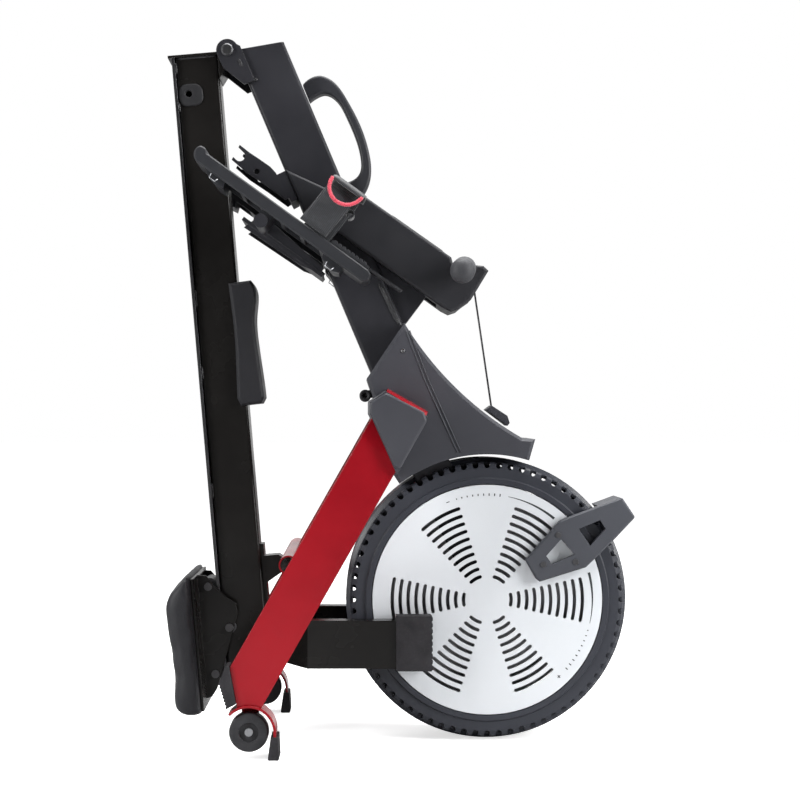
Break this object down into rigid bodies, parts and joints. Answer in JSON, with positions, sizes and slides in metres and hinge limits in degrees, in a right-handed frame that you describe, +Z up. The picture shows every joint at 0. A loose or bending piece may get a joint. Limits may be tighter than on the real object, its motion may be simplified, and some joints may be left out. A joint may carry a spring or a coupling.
{
  "type": "folding rowing machine",
  "caption": "Rowing machine folded upright for storage: sliding seat on a hinged rail, tilting pedals, pull handlebar and a flywheel with a resistance lever.",
  "frame": {"origin": "on the floor below the middle of the folded machine, halfway between its two legs", "axes": "+Z up; +X from the hanging seat rail towards the flywheel; -Y the right-hand side with the resistance lever"},
  "size_m": [0.7519, 0.5368, 1.1345],
  "materials": {
    "black_gloss_steel": "gloss black powder coat",
    "red_gloss_steel": "gloss red paint",
    "track_aluminium": "dark anodised",
    "bolt_steel": "dull zinc",
    "grey_shroud_plastic": "satin mid grey",
    "dark_arm_plastic": "fine texture dark grey",
    "black_plastic": "matte black",
    "cover_plastic": "satin dark grey",
    "disc_plastic": "silver paint",
    "lever_plastic": "mid grey with pale face",
    "grey_slider_plastic": "grey",
    "key_rubber": "soft grey",
    "screen_glass": "glossy display window",
    "board": "circuit board",
    "foot_rubber": "matte black rubber",
    "wheel_plastic": "dark grey",
    "grip_foam": "foam",
    "webbing": "woven strap",
    "seat_vinyl": "textured vinyl over foam",
    "roller_plastic": "nylon",
    "flywheel_iron": "machined",
    "magnet_iron": "plain"
  },
  "bodies": {
    "front_frame": {"spine_beam": "black_gloss_steel", "hinge_pin": "bolt_steel", "leg_arch": "red_gloss_steel", "leg_crossbar": "red_gloss_steel", "wheel_fenders": "red_gloss_steel", "fender_tips": "foot_rubber", "front_feet": "foot_rubber", "wheel_bolts": "bolt_steel", "console_housing_right": "dark_arm_plastic", "console_housing_left": "dark_arm_plastic", "console_bezel": "black_plastic", "console_screen": "screen_glass", "console_board": "board", "top_handle": "dark_arm_plastic", "storage_fork": "black_gloss_steel", "pedal_bracket": "black_gloss_steel", "shroud_right": "grey_shroud_plastic", "shroud_left": "grey_shroud_plastic", "leg_covers": "grey_shroud_plastic", "strap_guide": "black_plastic", "flywheel_cover_right": "cover_plastic", "flywheel_cover_left": "cover_plastic", "flywheel_brackets": "black_gloss_steel", "flywheel_axle": "bolt_steel", "side_disc_left": "disc_plastic", "inner_shafts": "bolt_steel", "pull_strap": "webbing"},
    "rail": {"rail_tube": "black_gloss_steel", "rail_track": "track_aluminium", "rail_hinge_end": "black_gloss_steel", "rail_end_cap": "black_plastic", "rail_plug": "black_plastic", "rail_grip": "black_plastic", "rest_bracket": "black_gloss_steel", "rear_leg": "black_gloss_steel", "rear_caps": "foot_rubber"},
    "seat": {"seat_carriage": "black_gloss_steel", "seat_cushion": "seat_vinyl", "seat_bolts": "bolt_steel"},
    "seat_roller_top": {"seat_roller_top": "roller_plastic"},
    "seat_roller_low": {"seat_roller_low": "roller_plastic"},
    "seat_under_rollers": {"seat_under_rollers": "roller_plastic"},
    "pedal_right": {"foot_plate_right": "black_plastic", "toe_slider_right": "grey_slider_plastic", "pedal_strap_right": "webbing"},
    "pedal_left": {"foot_plate_left": "black_plastic", "toe_slider_left": "grey_slider_plastic", "pedal_strap_left": "webbing"},
    "handlebar": {"handlebar_tube": "black_gloss_steel", "handlebar_grips": "grip_foam"},
    "strap_drum": {"strap_drum": "black_plastic"},
    "flywheel": {"flywheel": "flywheel_iron"},
    "resistance_dial": {"dial_disc": "disc_plastic", "resistance_lever": "lever_plastic", "lever_screws": "bolt_steel"},
    "magnet_carrier": {"magnet_carrier": "magnet_iron"},
    "wheel_right": {"transport_wheel_right": "wheel_plastic"},
    "wheel_left": {"transport_wheel_left": "wheel_plastic"},
    "key_plus": {"key_plus": "key_rubber"},
    "key_minus": {"key_minus": "key_rubber"}
  },
  "joints": [
    {"name": "rail_fold", "type": "hinge", "parent": "front_frame", "child": "rail", "pos_m": [-0.283, 0, 1.1165], "axis": [0, 1, 0], "range_deg": [0, 175]},
    {"name": "seat_slide", "type": "slide", "parent": "rail", "child": "seat", "axis": [-0.0854, 0, 0.9963], "range_m": [0, 0.7]},
    {"name": "seat_roller_top_spin", "type": "hinge", "parent": "seat", "child": "seat_roller_top", "pos_m": [-0.31345, 0, 0.24471], "axis": [0, 1, 0], "continuous": true},
    {"name": "seat_roller_low_spin", "type": "hinge", "parent": "seat", "child": "seat_roller_low", "pos_m": [-0.30132, 0, 0.10323], "axis": [0, 1, 0], "continuous": true},
    {"name": "seat_under_rollers_spin", "type": "hinge", "parent": "seat", "child": "seat_under_rollers", "pos_m": [-0.27896, 0, 0.17842], "axis": [0, 1, 0], "continuous": true},
    {"name": "pedal_right_tilt", "type": "hinge", "parent": "front_frame", "child": "pedal_right", "pos_m": [-0.22169, -0.123, 0.82501], "axis": [0, 1, 0], "range_deg": [-15, 15]},
    {"name": "pedal_left_tilt", "type": "hinge", "parent": "front_frame", "child": "pedal_left", "pos_m": [-0.22169, 0.123, 0.82501], "axis": [0, 1, 0], "range_deg": [-15, 15]},
    {"name": "handlebar_pull", "type": "slide", "parent": "front_frame", "child": "handlebar", "axis": [-0.1448, 0, 0.9895], "range_m": [0, 1.1], "deforming": ["pull_strap"]},
    {"name": "strap_drum_spin", "type": "hinge", "parent": "front_frame", "child": "strap_drum", "pos_m": [0.118, 0, 0.493], "axis": [0, 1, 0], "continuous": true},
    {"name": "flywheel_spin", "type": "hinge", "parent": "front_frame", "child": "flywheel", "pos_m": [0.137, 0, 0.227], "axis": [0, 1, 0], "continuous": true},
    {"name": "resistance_turn", "type": "hinge", "parent": "front_frame", "child": "resistance_dial", "pos_m": [0.137, -0.084, 0.227], "axis": [0, 1, 0], "range_deg": [-25, 45]},
    {"name": "magnet_swing", "type": "hinge", "parent": "front_frame", "child": "magnet_carrier", "pos_m": [-0.05313, 0, 0.20028], "axis": [0, 1, 0], "range_deg": [-1.7, 3]},
    {"name": "wheel_right_spin", "type": "hinge", "parent": "front_frame", "child": "wheel_right", "pos_m": [-0.236, -0.225, 0.041], "axis": [0, 1, 0], "continuous": true},
    {"name": "wheel_left_spin", "type": "hinge", "parent": "front_frame", "child": "wheel_left", "pos_m": [-0.236, 0.225, 0.041], "axis": [0, 1, 0], "continuous": true},
    {"name": "key_plus_press", "type": "slide", "parent": "front_frame", "child": "key_plus", "axis": [-0.5764, 0, -0.8171], "range_m": [0, 0.0015], "stiffness_N_per_m": 400, "springref_m": -0.0005},
    {"name": "key_minus_press", "type": "slide", "parent": "front_frame", "child": "key_minus", "axis": [-0.5764, 0, -0.8171], "range_m": [0, 0.0015], "stiffness_N_per_m": 400, "springref_m": -0.0005}
  ],
  "couplings": [
    {"joint": "seat_roller_top_spin", "follows": "seat_slide", "rad_per_m": 80},
    {"joint": "seat_roller_low_spin", "follows": "seat_slide", "rad_per_m": 80},
    {"joint": "seat_under_rollers_spin", "follows": "seat_slide", "rad_per_m": -96.154},
    {"joint": "strap_drum_spin", "follows": "handlebar_pull", "rad_per_m": 50},
    {"joint": "magnet_swing", "follows": "resistance_turn", "ratio": 0.065}
  ]
}
